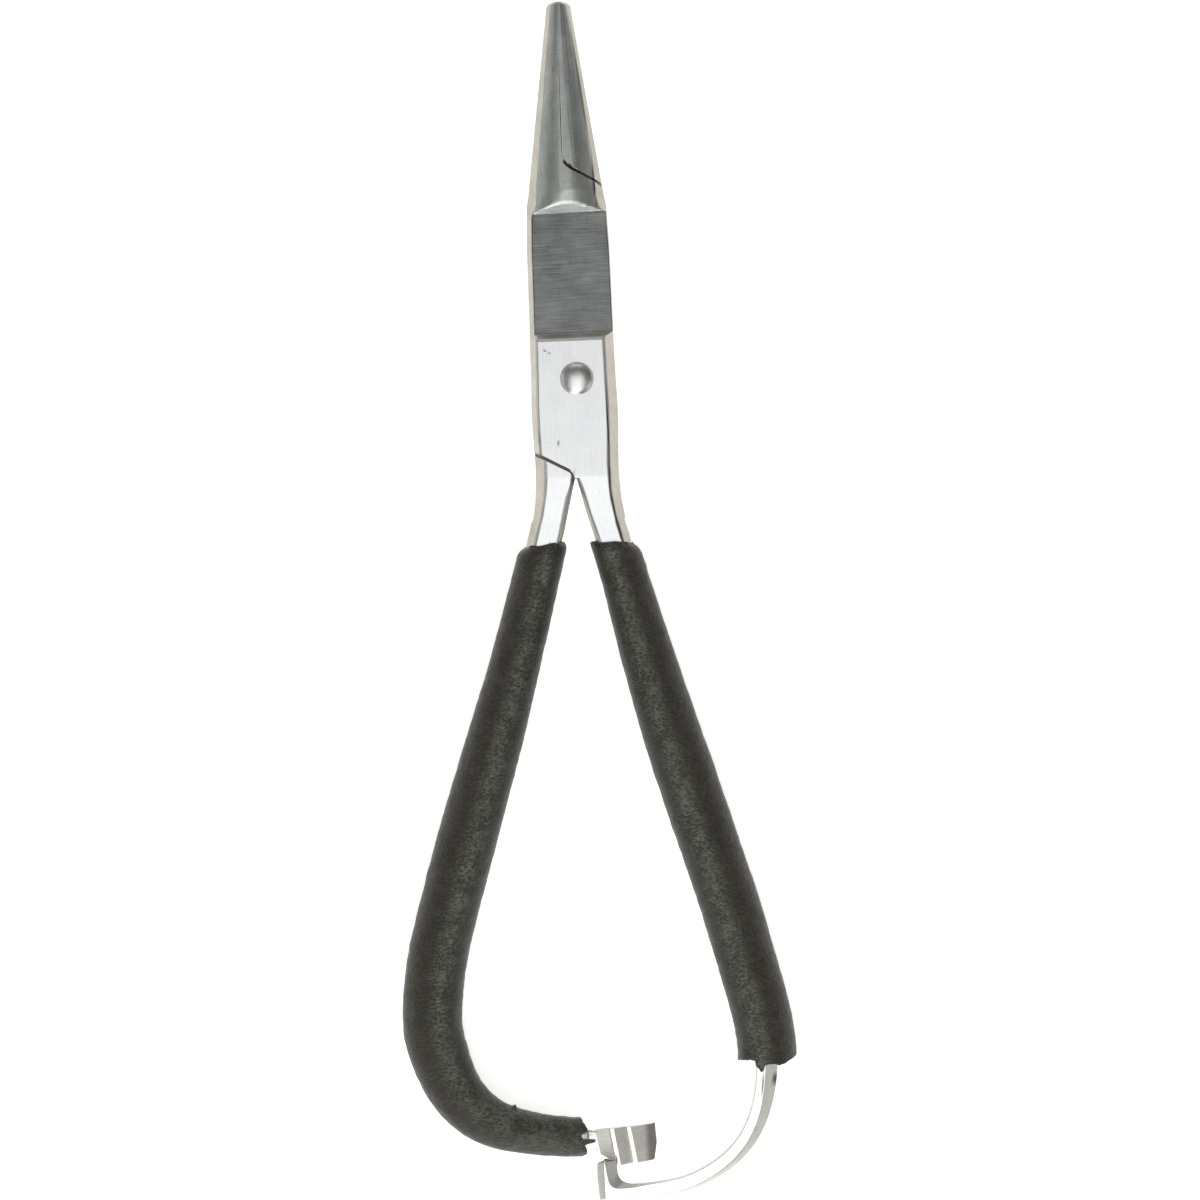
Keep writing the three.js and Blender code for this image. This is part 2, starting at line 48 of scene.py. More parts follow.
# the lap's middle, level with the forgings' mid-plane: every plan figure below is from here
rivetLow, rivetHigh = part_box("pivot_rivet")
backLow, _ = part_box("back_half")
_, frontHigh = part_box("front_half")
rivetX = 0.4
lapX = (rivetLow.x + rivetHigh.x) / 2 / mm - rivetX
lapY = (rivetLow.y + rivetHigh.y) / 2 / mm
midZ = (backLow.z + frontHigh.z) / 2 / mm
lapMiddle = np.array([lapX, lapY, midZ])


def meshFromGrid(name, points, wrapU=False, wrapV=False, capStart=False, capEnd=False):
    # points[v, u] in millimetres from the lap's middle; each cell of the grid becomes one quad,
    # wrapU joins the last column to the first, wrapV the last row to the first
    rows, columns = points.shape[:2]
    index = np.arange(rows * columns).reshape(rows, columns)
    if wrapU:
        index = np.concatenate([index, index[:, :1]], axis=1)
    if wrapV:
        index = np.concatenate([index, index[:1]], axis=0)
    quads = np.stack([index[:-1, :-1], index[:-1, 1:], index[1:, 1:], index[1:, :-1]], axis=-1)
    faces = quads.reshape(-1, 4).tolist()
    if capStart:
        faces.append(index[0, :columns][::-1].tolist())
    if capEnd:
        faces.append(index[rows - 1, :columns].tolist())
    mesh = bpy.data.meshes.new(name)
    mesh.from_pydata(((points.reshape(-1, 3) + lapMiddle) * mm).tolist(), [], faces)
    return turnedOut(mesh)


def turnedOut(mesh):
    # doubles merged, then the faces turned to point out
    work = bmesh.new()
    work.from_mesh(mesh)
    bmesh.ops.remove_doubles(work, verts=work.verts, dist=1e-7)
    bmesh.ops.recalc_face_normals(work, faces=work.faces)
    work.to_mesh(mesh)
    work.free()
    mesh.update()
    return mesh


def sharpenOver(mesh, degrees):
    # smooth shading, with edges kept sharp where two faces meet at more than the angle
    mesh.polygons.foreach_set("use_smooth", np.ones(len(mesh.polygons), bool))
    mesh.set_sharp_from_angle(angle=radians(degrees))


def addPiece(name, mesh, body, node, materials):
    # an object at the origin, on its body, in place of its CAD node
    piece = bpy.data.objects.new(name, mesh)
    bpy.context.scene.collection.objects.link(piece)
    for material in materials:
        mesh.materials.append(material)
    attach(piece, body)
    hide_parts(node)
    return piece


def roundEdges(piece, width, segments):
    # each weighed edge rounded, width in millimetres
    bevel = piece.modifiers.new("edge round", "BEVEL")
    bevel.limit_method = "WEIGHT"
    bevel.width = width * mm
    bevel.segments = segments
    bevel.use_clamp_overlap = False
    weighting = piece.modifiers.new("broad faces stay flat", "WEIGHTED_NORMAL")
    weighting.weight = 60
    weighting.keep_sharp = True


def linear(hexColour):
    # sRGB hex to the linear values that a shader takes
    parts = np.array([int(hexColour[i:i + 2], 16) for i in (1, 3, 5)]) / 255
    flat = np.where(parts <= 0.04045, parts / 12.92, ((parts + 0.055) / 1.055) ** 2.4)
    return (*flat.tolist(), 1.0)


def addNode(tree, kind, settings=None, stops=(), **inputs):
    # one node, with its settings, its colour stops, its input values and its links; an input is
    # named, with underscores for spaces, or numbered from i0
    node = tree.nodes.new(kind)
    for key, value in (settings or {}).items():
        setattr(node, key, value)
    for extra in stops[2:]:
        node.color_ramp.elements.new(0.5)
    for index, (position, colour) in enumerate(stops):
        node.color_ramp.elements[index].position = position
        node.color_ramp.elements[index].color = linear(colour)
    for key, value in inputs.items():
        numbered = key[0] == "i" and key[1:].isdigit()
        socket = node.inputs[int(key[1:]) if numbered else key.replace("_", " ")]
        if isinstance(value, bpy.types.NodeSocket):
            tree.links.new(value, socket)
        else:
            socket.default_value = value
    return node


def newMaterial(name):
    # a material with its shader and the piece's own coordinates
    material = bpy.data.materials.new(name)
    material.use_nodes = True
    tree = material.node_tree
    shader = tree.nodes["Principled BSDF"]
    place = addNode(tree, "ShaderNodeTexCoord")
    return material, tree, shader, place.outputs["Object"]


def dress(tree, shader, colour, rough, bump):
    # the three patterns go to the shader
    for socket, pattern in (("Base Color", colour), ("Roughness", rough), ("Normal", bump)):
        tree.links.new(pattern, shader.inputs[socket])


def withSpots(tree, place, colour, spots, stain):
    # a stain over the colour inside each ellipse in plan, fading out at its edge; a spot is its
    # middle and half sizes in millimetres from the lap's middle, and its turn in degrees
    for centre, size, degrees in spots:
        middle = ((centre[0] + lapX) * mm, (centre[1] + lapY) * mm, 0)
        inside = addNode(tree, "ShaderNodeMapping", {"vector_type": "TEXTURE"}, Vector=place,
                         Location=middle, Rotation=(0, 0, radians(degrees)),
                         Scale=(size[0] * mm, size[1] * mm, 1.0)).outputs[0]
        away = addNode(tree, "ShaderNodeVectorMath", {"operation": "LENGTH"},
                       i0=inside).outputs["Value"]
        mask = addNode(tree, "ShaderNodeMapRange", Value=away, From_Min=0.3, From_Max=1.1,
                       To_Min=0.9, To_Max=0.0).outputs[0]
        colour = addNode(tree, "ShaderNodeMix", {"data_type": "RGBA"}, i0=mask, i6=colour,
                         i7=linear(stain)).outputs[2]
    return colour


# Carbon tool steel, nickel plated: the plate and shanks are linished lengthwise, the flat is
# ground across, the jaw backs are polished and the drafted sides keep the blasted forging skin.
# Grooves and across are the scratches' cells per millimetre along X, Y and Z in the main pass and
# the crossing one, crossed is the share of the second, and depth is in millimetres.
steels = {
    "plate": {
        "name": "linished nickel-plated steel", "dark": "#D5D9DA", "light": "#FBFCFB",
        "grooves": (9.0, 0.22, 9.0), "across": (0.3, 8.0, 8.0), "crossed": 0.22,
        "depth": 0.004, "rough": (0.34, 0.46),
        "marks": [((-3.2, 3.4), (0.3, 0.14), -30.0), ((-2.7, 3.1), (0.2, 0.12), 20.0),
                  ((-2.05, -7.4), (0.16, 0.45), -8.0)],
    },
    "flat": {
        # painted reflection: the flat is drawn much darker than the plate, standing in for the
        # dark surroundings that its cross grinding mirrors
        "name": "cross-ground nickel-plated steel", "dark": "#3A3D3D", "light": "#A6AAA7",
        "grooves": (0.3, 9.0, 9.0), "across": (5.0, 0.6, 5.0), "crossed": 0.15,
        "depth": 0.006, "rough": (0.34, 0.5), "marks": [],
    },
    "back": {
        "name": "lengthwise-polished nickel-plated steel", "dark": "#A8ADA9", "light": "#EDF0EB",
        "grooves": (7.0, 0.35, 7.0), "across": (0.5, 6.0, 6.0), "crossed": 0.45,
        "depth": 0.003, "rough": (0.34, 0.46), "marks": [((-0.9, 36.2), (0.06, 0.5), 0.0)],
    },
    "hidden": {
        "name": "surface-ground nickel-plated steel", "dark": "#8C8C89", "light": "#A9A9A5",
        "grooves": (6.0, 0.4, 6.0), "across": (0.4, 6.0, 6.0), "crossed": 0.0,
        "depth": 0.004, "rough": (0.4, 0.5), "marks": [],
    },
}


# dark colours: pits; painted shade in the forgings' long edges; dark brown for the strip's marks
# and the rack's painted end shade
stains = {"pit": "#77766F", "paintedShade": "#4E4741", "darkBrown": "#64584F"}
# painted shade in the long edges, on the sides turned from the light: right side of the jaw, right
# side of the plate and shank, inner side of the left shank; middle, half sizes in mm, turn in
# degrees
shadedEdges = [
    ((3.3, 23.2), (0.18, 3.8), 2.9), ((2.19, 33.7), (0.2, 9.4), 6.75),
    ((3.78, -5.6), (0.15, 6.4), 1.0), ((3.74, -11.6), (0.17, 3.4), 0.0),
    ((4.0, -14.8), (0.18, 2.8), 9.0), ((4.62, -17.6), (0.24, 3.0), 13.5),
    ((-1.38, -15.2), (0.16, 5.0), -14.2), ((-0.66, -11.6), (0.2, 1.0), -14.0),
]


def brushedSteel(facts, paintedShade=()):
    # streaks of light and dark along the scratches, which also spread the gloss across them
    material, tree, shader, place = newMaterial(facts["name"])
    # real wheel scratches are about 0.02 mm apart; drawn five times coarser so that they show
    passes = []
    for grooves in (facts["grooves"], facts["across"]):
        perMetre = [lines / mm for lines in grooves]
        stretched = addNode(tree, "ShaderNodeMapping", Vector=place, Scale=perMetre).outputs[0]
        passes.append(addNode(tree, "ShaderNodeTexNoise", Vector=stretched, Scale=1.0, Detail=6.0,
                              Roughness=0.7).outputs["Fac"])
    lines = addNode(tree, "ShaderNodeMix", {"data_type": "FLOAT"}, i0=facts["crossed"],
                    i2=passes[0], i3=passes[1]).outputs[0]
    # broad uneven polish, about 3 mm across
    clouds = addNode(tree, "ShaderNodeTexNoise", Vector=place, Scale=330.0, Detail=3.0,
                     Roughness=0.5).outputs["Fac"]
    both = addNode(tree, "ShaderNodeMix", {"data_type": "FLOAT"}, i0=0.3, i2=lines,
                   i3=clouds).outputs[0]
    colour = addNode(tree, "ShaderNodeValToRGB", Fac=both,
                     stops=[(0.3, facts["dark"]), (0.7, facts["light"])]).outputs["Color"]
    # small dark pits left in the forging, a tenth of a millimetre across
    pits = addNode(tree, "ShaderNodeTexVoronoi", {"feature": "F1"}, Vector=place,
                   Scale=600.0, Randomness=1.0).outputs["Distance"]
    pitMask = addNode(tree, "ShaderNodeMapRange", Value=pits, From_Min=0.03, From_Max=0.06,
                      To_Min=0.8, To_Max=0.0).outputs[0]
    colour = addNode(tree, "ShaderNodeMix", {"data_type": "RGBA"}, i0=pitMask, i6=colour,
                     i7=linear(stains["pit"])).outputs[2]
    colour = withSpots(tree, place, colour, facts["marks"], stains["pit"])
    # painted shade along the long edges, in the spots given
    colour = withSpots(tree, place, colour, paintedShade, stains["paintedShade"])
    low, high = facts["rough"]
    rough = addNode(tree, "ShaderNodeMapRange", Value=both, From_Min=0.25, From_Max=0.75,
                    To_Min=low, To_Max=high).outputs[0]
    bump = addNode(tree, "ShaderNodeBump", Strength=0.35, Distance=facts["depth"] * mm,
                   Height=lines).outputs[0]
    dress(tree, shader, colour, rough, bump)
    shader.inputs["Metallic"].default_value = 1.0
    return material


forgedSkin = {"dark": "#B4B0A6", "light": "#D9D5CB", "rough": (0.44, 0.6)}


def blastedForging(facts, paintedShade=()):
    # forging skin, blasted and plated: a fine even grain that scatters light, warm grey
    material, tree, shader, place = newMaterial("blasted nickel-plated forging")
    # grit marks about 0.15 mm across
    grain = addNode(tree, "ShaderNodeTexNoise", Vector=place, Scale=6500.0, Detail=4.0,
                    Roughness=0.6).outputs["Fac"]
    clouds = addNode(tree, "ShaderNodeTexNoise", Vector=place, Scale=420.0,
                     Detail=3.0).outputs["Fac"]
    both = addNode(tree, "ShaderNodeMix", {"data_type": "FLOAT"}, i0=0.6, i2=grain,
                   i3=clouds).outputs[0]
    colour = addNode(tree, "ShaderNodeValToRGB", Fac=both,
                     stops=[(0.32, facts["dark"]), (0.68, facts["light"])]).outputs["Color"]
    # painted shade along the long edges, in the spots given
    colour = withSpots(tree, place, colour, paintedShade, stains["paintedShade"])
    low, high = facts["rough"]
    rough = addNode(tree, "ShaderNodeMapRange", Value=both, From_Min=0.3, From_Max=0.7,
                    To_Min=low, To_Max=high).outputs[0]
    bump = addNode(tree, "ShaderNodeBump", Strength=0.5, Distance=0.012 * mm,
                   Height=grain).outputs[0]
    dress(tree, shader, colour, rough, bump)
    shader.inputs["Metallic"].default_value = 1.0
    return material


brightChrome = {"dark": "#DCDCDA", "light": "#F7F7F5", "rough": (0.2, 0.3)}
domeSkin = {"dark": "#C4C5C3", "light": "#EDEDEA", "rough": (0.3, 0.4)}
rampSkin = {"dark": "#D2D0C8", "light": "#F6F4EC", "rough": (0.46, 0.58)}
edgeSkin = {"dark": "#D9D7CF", "light": "#F1EFE8", "rough": (0.4, 0.52)}
# dark brown marks on the strip: darker in the crease by the sleeve and on its outer edge, and
# painted shade along the hook's top and right edges against the rack; middle, half sizes in mm,
# turn in degrees
stripMarks = [
    ((18.74, -83.2), (0.16, 2.0), -7.0), ((20.22, -82.7), (0.42, 0.9), -8.0),
    # the last two are painted shade at the hook's edges, where it lies against the rack
    ((0.45, -91.22), (0.95, 0.1), -3.0), ((1.33, -91.5), (0.1, 0.5), 0.0),
]


def buffedChrome(name, facts, grooves, marks=(), endShadeFrom=None):
    # bright plating over buffed steel: near-mirror, with faint wheel lines
    material, tree, shader, place = newMaterial(name)
    perMetre = [lines / mm for lines in grooves]
    stretched = addNode(tree, "ShaderNodeMapping", Vector=place, Scale=perMetre).outputs[0]
    lines = addNode(tree, "ShaderNodeTexNoise", Vector=stretched, Scale=1.0, Detail=5.0,
                    Roughness=0.65).outputs["Fac"]
    clouds = addNode(tree, "ShaderNodeTexNoise", Vector=place, Scale=500.0,
                     Detail=2.0).outputs["Fac"]
    both = addNode(tree, "ShaderNodeMix", {"data_type": "FLOAT"}, i0=0.4, i2=lines,
                   i3=clouds).outputs[0]
    colour = addNode(tree, "ShaderNodeValToRGB", Fac=both,
                     stops=[(0.3, facts["dark"]), (0.7, facts["light"])]).outputs["Color"]
    # the marks' spots in dark brown: on the strip, painted shade at the hook's edges and darker
    # places in its crease and outer edge
    colour = withSpots(tree, place, colour, marks, stains["darkBrown"])
    if endShadeFrom is not None:
        # painted shade: the rack's rounded end drawn darker and browner, past a place along X
        across = addNode(tree, "ShaderNodeSeparateXYZ", i0=place).outputs["X"]
        start = (lapX + endShadeFrom) * mm
        endShade = addNode(tree, "ShaderNodeMapRange", Value=across, From_Min=start - 0.25 * mm,
                       From_Max=start + 0.35 * mm, To_Min=0.0, To_Max=0.6).outputs[0]
        colour = addNode(tree, "ShaderNodeMix", {"data_type": "RGBA"}, i0=endShade, i6=colour,
                         i7=linear(stains["darkBrown"])).outputs[2]
    low, high = facts["rough"]
    rough = addNode(tree, "ShaderNodeMapRange", Value=both, From_Min=0.3, From_Max=0.7,
                    To_Min=low, To_Max=high).outputs[0]
    bump = addNode(tree, "ShaderNodeBump", Strength=0.25, Distance=0.002 * mm,
                   Height=lines).outputs[0]
    dress(tree, shader, colour, rough, bump)
    shader.inputs["Metallic"].default_value = 1.0
    return material


sleeveRubber = {
    "dark": "#2B2520", "middle": "#38322C", "light": "#4A443D",
    "sheen": "#E6EDE2", "shine": 0.5, "rough": (0.3, 0.44),
    "pebble": 0.22,  # mm deep
    # the colour of the painted highlight band on the pebble tops
    "paintedHighlight": "#6E7468",
    "bandLean": 0.27,  # sideways lean of the skin at the middle of the painted highlight band
    "bandWidth": 0.42,  # and how much further it leans where the band has faded out
}


def pebbledRubber(facts):
    # moulded nitrile rubber: matt charcoal, a fine pebbled skin that breaks up the highlight
    material, tree, shader, place = newMaterial("moulded nitrile rubber")
    # pebbles about 0.25 mm across
    crosswise = addNode(tree, "ShaderNodeMapping", Vector=place, Scale=(0.6, 1.0, 1.0)).outputs[0]
    pebbles = addNode(tree, "ShaderNodeTexNoise", Vector=crosswise, Scale=4000.0, Detail=3.0,
                      Roughness=0.6).outputs["Fac"]
    blotches = addNode(tree, "ShaderNodeTexNoise", Vector=place, Scale=500.0,
                       Detail=2.0).outputs["Fac"]
    both = addNode(tree, "ShaderNodeMix", {"data_type": "FLOAT"}, i0=0.3, i2=pebbles,
                   i3=blotches).outputs[0]
    colour = addNode(tree, "ShaderNodeValToRGB", Fac=both,
                     stops=[(0.34, facts["dark"]), (0.5, facts["middle"]),
                            (0.66, facts["light"])]).outputs["Color"]
    # painted highlight: a greyer band along each sleeve, on the side towards the other one,
    # lightens the tops of the pebbles where the skin leans that way
    normal = addNode(tree, "ShaderNodeTexCoord").outputs["Normal"]
    lean = addNode(tree, "ShaderNodeSeparateXYZ", i0=normal).outputs["X"]
    across = addNode(tree, "ShaderNodeSeparateXYZ", i0=place).outputs["X"]
    off = addNode(tree, "ShaderNodeMath", {"operation": "SUBTRACT"}, i0=across,
                  i1=lapX * mm).outputs[0]
    handle = addNode(tree, "ShaderNodeMath", {"operation": "SIGN"}, i0=off).outputs[0]
    outwards = addNode(tree, "ShaderNodeMath", {"operation": "MULTIPLY"}, i0=lean,
                       i1=handle).outputs[0]
    fromBand = addNode(tree, "ShaderNodeMath", {"operation": "ADD"}, i0=outwards,
                       i1=facts["bandLean"]).outputs[0]
    away = addNode(tree, "ShaderNodeMath", {"operation": "ABSOLUTE"}, i0=fromBand).outputs[0]
    band = addNode(tree, "ShaderNodeMapRange", Value=away, From_Min=0.05,
                   From_Max=facts["bandWidth"], To_Min=1.0, To_Max=0.0).outputs[0]
    tops = addNode(tree, "ShaderNodeMapRange", Value=both, From_Min=0.44, From_Max=0.6,
                   To_Min=0.12, To_Max=1.0).outputs[0]
    paintedHighlight = addNode(tree, "ShaderNodeMath", {"operation": "MULTIPLY"}, i0=band,
                     i1=tops).outputs[0]
    # the painted highlight mixed into the colour
    colour = addNode(tree, "ShaderNodeMix", {"data_type": "RGBA"}, i0=paintedHighlight, i6=colour,
                     i7=linear(facts["paintedHighlight"])).outputs[2]
    low, high = facts["rough"]
    rough = addNode(tree, "ShaderNodeMapRange", Value=pebbles, From_Min=0.3, From_Max=0.7,
                    To_Min=low, To_Max=high).outputs[0]
    bump = addNode(tree, "ShaderNodeBump", Strength=0.9, Distance=facts["pebble"] * mm,
                   Height=pebbles).outputs[0]
    dress(tree, shader, colour, rough, bump)
    shader.inputs["Specular Tint"].default_value = linear(facts["sheen"])
    shader.inputs["Specular IOR Level"].default_value = facts["shine"]
    return material


plateSteel = brushedSteel(steels["plate"], shadedEdges)
flatSteel = brushedSteel(steels["flat"])
backSteel = brushedSteel(steels["back"], shadedEdges)
hiddenSteel = brushedSteel(steels["hidden"])
forgedSteel = blastedForging(forgedSkin, shadedEdges)
domeChrome = buffedChrome("satin chrome on a peened dome", domeSkin, (1.5, 1.5, 1.5))
stripChrome = buffedChrome("buffed chrome on spring steel", brightChrome, (2.0, 0.5, 2.0),
                           stripMarks)
edgeChrome = buffedChrome("satin chrome on sheared edges", edgeSkin, (1.0, 1.0, 3.0), stripMarks)
rackChrome = buffedChrome("satin chrome on milled steel", rampSkin, (1.2, 5.0, 1.2), (), 4.9)
gripRubber = pebbledRubber(sleeveRubber)
print("materials made")


def cleanCopy(node, name):
    # the CAD's loose triangles joined at corners within 0.06 mm, and those that lie in one plane,
    # to 0.6 degrees, merged into one face
    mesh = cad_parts[node].data.copy()
    mesh.name = name
    mesh.materials.clear()
    work = bmesh.new()
    work.from_mesh(mesh)
    bmesh.ops.remove_doubles(work, verts=work.verts, dist=6e-5)
    bmesh.ops.dissolve_limit(work, angle_limit=radians(0.6), verts=work.verts, edges=work.edges)
    work.to_mesh(mesh)
    work.free()
    return mesh


def facePlaces(mesh):
    # each face's middle, in millimetres from the lap's middle, and its normal
    centres, normals = np.empty(len(mesh.polygons) * 3), np.empty(len(mesh.polygons) * 3)
    mesh.polygons.foreach_get("center", centres)
    mesh.polygons.foreach_get("normal", normals)
    return centres.reshape(-1, 3) / mm - lapMiddle, normals.reshape(-1, 3)


def weighEdges(mesh, width, degrees, wish):
    # how much of the full rounding each sharp edge takes: what wish says for its middle, and
    # never more than its narrower face can spare
    work = bmesh.new()
    work.from_mesh(mesh)
    weights = np.zeros(len(work.edges))
    for edge in work.edges:
        if len(edge.link_faces) != 2 or edge.calc_face_angle() < radians(degrees):
            continue
        room = min(face.calc_area() / edge.calc_length() for face in edge.link_faces) / mm
        middle = np.array((edge.verts[0].co + edge.verts[1].co) / 2) / mm - lapMiddle
        weights[edge.index] = min(wish(middle), 0.4 * room / width)
    work.free()
    mesh.attributes.new("bevel_weight_edge", "FLOAT", "EDGE").data.foreach_set("value", weights)


forging = {
    "flatHeight": 1.35,  # mid-plane to the ground flat, mm
    "flatTop": 20.7, "flatBottom": 4.5,  # ends of its two ramps, from the rivet, mm
    "flatHigh": 19.4,  # upper end of the flat itself
    "jawStart": 19.5,
    "plateHeight": 1.6,  # level faces above this are plate or shank faces
    "backHeight": 0.9,  # and the jaws' backs lie above this
    "level": 0.985,  # cosine of the steepest face that still counts as level
    "draftTop": 0.78,  # and of the steepest that belongs to a jaw's rounded back
    "ramp": 0.4,  # and of the steepest that belongs to a ramp at an end of the flat
    "shoulders": ((-0.2, 24.75), (-0.85, -10.5)), "shoulderAngle": 28.3,
    "biteX": -0.2, "biteStart": 24.0,
    "shutFrom": 31.0, "shutGap": 0.004,  # the jaws shut tight above this, mm left on each side
    "tangStart": -3.4, "tangY": -86.0,
    "edge": 0.3, "edgeSegments": 4, "edgeAngle": 24,
    # how much of that rounding the other edges take
    "biteRound": 0.25, "shoulderRound": 0.12, "flashRound": 0.4, "flatRound": 0.5,
    # places where the edges stay crisp, mm, and how far round them: the rivet's bore, the crotch
    # and the corner of the flat's upper ramp
    "crisp": (((0.4, 0.0), 2.3), ((-0.6, -11.0), 1.0), ((4.0, 19.9), 1.4)),
}


def shutBite(mesh):
    # the jaws' biting faces brought together above a height: x is moved to the bite line, less a
    # hair, wherever it is within 0.1 mm of it
    facts = forging
    places = np.empty(len(mesh.vertices) * 3)
    mesh.vertices.foreach_get("co", places)
    places = places.reshape(-1, 3) / mm - lapMiddle
    off = places[:, 0] - facts["biteX"]
    near = (np.abs(off) < 0.1) & (places[:, 1] > facts["shutFrom"])
    places[near, 0] = facts["biteX"] + np.sign(off[near]) * facts["shutGap"]
    mesh.vertices.foreach_set("co", ((places + lapMiddle) * mm).ravel())


def forgedEdge(middle):
    # how much of the full rounding an edge of a forging takes, by where its middle is
    x, y, z = middle
    if y > forging["biteStart"] and abs(x - forging["biteX"]) < 0.25:
        # the jaws close on a sharp edge, lightly broken near their shoulders
        return 0.0 if y > forging["shutFrom"] else forging["biteRound"]
    own = x if z > 0 else -x
    if any(hypot(own - cx, y - cy) < reach for (cx, cy), reach in forging["crisp"]):
        return 0.0
    slope = tan(radians(forging["shoulderAngle"]))
    (upX, upY), (lowX, lowY) = forging["shoulders"]
    upper = abs(y - upY + (own - upX) * slope) < 0.7 and own > upX - 0.4
    lower = abs(y - lowY + (own - lowX) * slope) < 0.7 and own < lowX + 0.8
    if upper or lower:
        return forging["shoulderRound"]  # the shoulders are sawn, their edges just broken
    if abs(z) < 0.1:
        return forging["flashRound"]  # the flash line, and the sliding faces
    onFlat = abs(abs(z) - forging["flatHeight"]) < 0.1
    if onFlat and forging["flatBottom"] < y < forging["flatTop"]:
        return 1.0 if y > forging["flatHigh"] - 0.1 else forging["flatRound"]
    return 1.0


def forgedHalf(node, name, body):
    # the CAD's own shape, with its edges rounded and a finish for each kind of face
    facts = forging
    mesh = cleanCopy(node, name)
    shutBite(mesh)
    sharpenOver(mesh, facts["edgeAngle"])
    # each face's finish, by where it is and how it leans: 0 plate and shanks, 1 ground flat,
    # 2 jaw back and upper ramp, 3 forged side, 4 sliding face, 5 tang
    centres, normals = facePlaces(mesh)
    across, along, height = centres[:, 0], centres[:, 1], np.abs(centres[:, 2])
    level = np.abs(normals[:, 2])
    outward = normals[:, 2] * centres[:, 2] > 0
    sideways, endways = np.abs(normals[:, 0]), np.abs(normals[:, 1])
    zone = np.full(len(mesh.polygons), 3)
    zone[(level > facts["level"]) & outward & (height > facts["plateHeight"])
         & (along < facts["flatBottom"])] = 0
    zone[(along > facts["jawStart"]) & outward & (level > facts["draftTop"])
         & (height > facts["backHeight"])] = 2
    ramp = outward & (level > facts["ramp"]) & (sideways <= facts["ramp"])
    zone[ramp & (along > facts["flatHigh"] - 0.3) & (endways > facts["ramp"])] = 2
    zone[ramp & (along > facts["flatBottom"]) & (along < facts["flatHigh"])
         & (np.abs(height - facts["flatHeight"]) < 0.02)] = 1
    zone[(height < 0.3) & (level > 0.95)] = 4
    zone[(across > facts["tangStart"]) & (along < facts["tangY"])] = 5
    mesh.polygons.foreach_set("material_index", zone)
    weighEdges(mesh, facts["edge"], facts["edgeAngle"], forgedEdge)
    piece = addPiece(name, mesh, body, node,
                     [plateSteel, flatSteel, backSteel, forgedSteel, hiddenSteel, stripChrome])
    roundEdges(piece, facts["edge"], facts["edgeSegments"])


forgedHalf("front_half", "front_forging", "front_lever")
forgedHalf("back_half", "back_forging", "back_lever")
print("forged halves made")


rackFacts = {
    "middleY": -89.7, "slant": 9.0,  # lean of the teeth across the rack, degrees
    # X and height: level lands at the tooth tips, ramps between them, a rounded end
    "profile": [
        (-3.0, 0.2), (-1.1, 0.2), (0.84, -0.12), (0.92, 0.45), (1.42, 0.45), (2.85, -0.1),
        (2.93, 0.45), (3.43, 0.45), (4.85, 0.0), (5.3, -0.13), (5.7, -0.3), (6.0, -0.5),
        (6.3, -0.64), (8.0, -0.64),
    ],
    "back": -0.65,
    "plan": [(-0.55, -90.75), (1.55, -92.1), (5.75, -91.65), (6.1, -89.7), (5.95, -87.45),
             (-1.05, -87.85)],
    "halfRun": 4.0,  # how far the profile is run each way before it is cut to the plan
    "landHeight": 0.3,  # level faces above this are lands
    "edge": 0.045, "edgeSegments": 3, "edgeAngle": 16,
}


def toothedRack():
    # the tooth profile run along Y, leaning as it goes: x = profile x - tan(slant) (y - middle);
    # then cut to the six sides of the plan
    facts = rackFacts
    top = np.array(facts["profile"])
    ring = np.vstack([top, [(top[-1, 0], facts["back"]), (top[0, 0], facts["back"])]])
    rows = []
    for y in (facts["middleY"] - facts["halfRun"], facts["middleY"] + facts["halfRun"]):
        lean = -tan(radians(facts["slant"])) * (y - facts["middleY"])
        rows.append(np.column_stack([ring[:, 0] + lean, np.full(len(ring), y), ring[:, 1]]))
    mesh = meshFromGrid("toothed_rack", np.stack(rows), wrapU=True, capStart=True, capEnd=True)
    work = bmesh.new()
    work.from_mesh(mesh)
    plan = (np.array(facts["plan"]) + lapMiddle[:2]) * mm
    for a, b in zip(plan, np.roll(plan, -1, axis=0)):
        run = b - a
        cut = bmesh.ops.bisect_plane(work, geom=work.verts[:] + work.edges[:] + work.faces[:],
                                     plane_co=(*a, 0), plane_no=(run[1], -run[0], 0),
                                     clear_outer=True)
        rim = [e for e in cut["geom_cut"] if isinstance(e, bmesh.types.BMEdge)]
        bmesh.ops.holes_fill(work, edges=rim, sides=0)
    bmesh.ops.recalc_face_normals(work, faces=work.faces)
    work.to_mesh(mesh)
    work.free()
    sharpenOver(mesh, 30)
    centres, normals = facePlaces(mesh)
    zone = np.zeros(len(mesh.polygons), int)
    zone[(normals[:, 2] > 0.98) & (centres[:, 2] > facts["landHeight"])] = 1
    mesh.polygons.foreach_set("material_index", zone)
    weighEdges(mesh, facts["edge"], facts["edgeAngle"], lambda middle: 1.0)
    piece = addPiece("toothed_rack", mesh, "back_lever", "ratchet_rack",
                     [rackChrome, stripChrome])
    roundEdges(piece, facts["edge"], facts["edgeSegments"])


toothedRack()
print("rack made")


rivetFacts = {
    "shank": 1.35, "head": 1.93, "headHeight": 0.95, "tail": 1.7, "tailHeight": 0.35,
    "seat": 2.32, "rim": 0.12,  # underside of the head, and where its dome starts above that
    "corner": (0.06, 0.05),  # bevel under the rim, inwards and up
    "fullness": 0.9,  # under 1 makes a dome fuller than an ellipse
    "around": 96, "rings": 25,
}


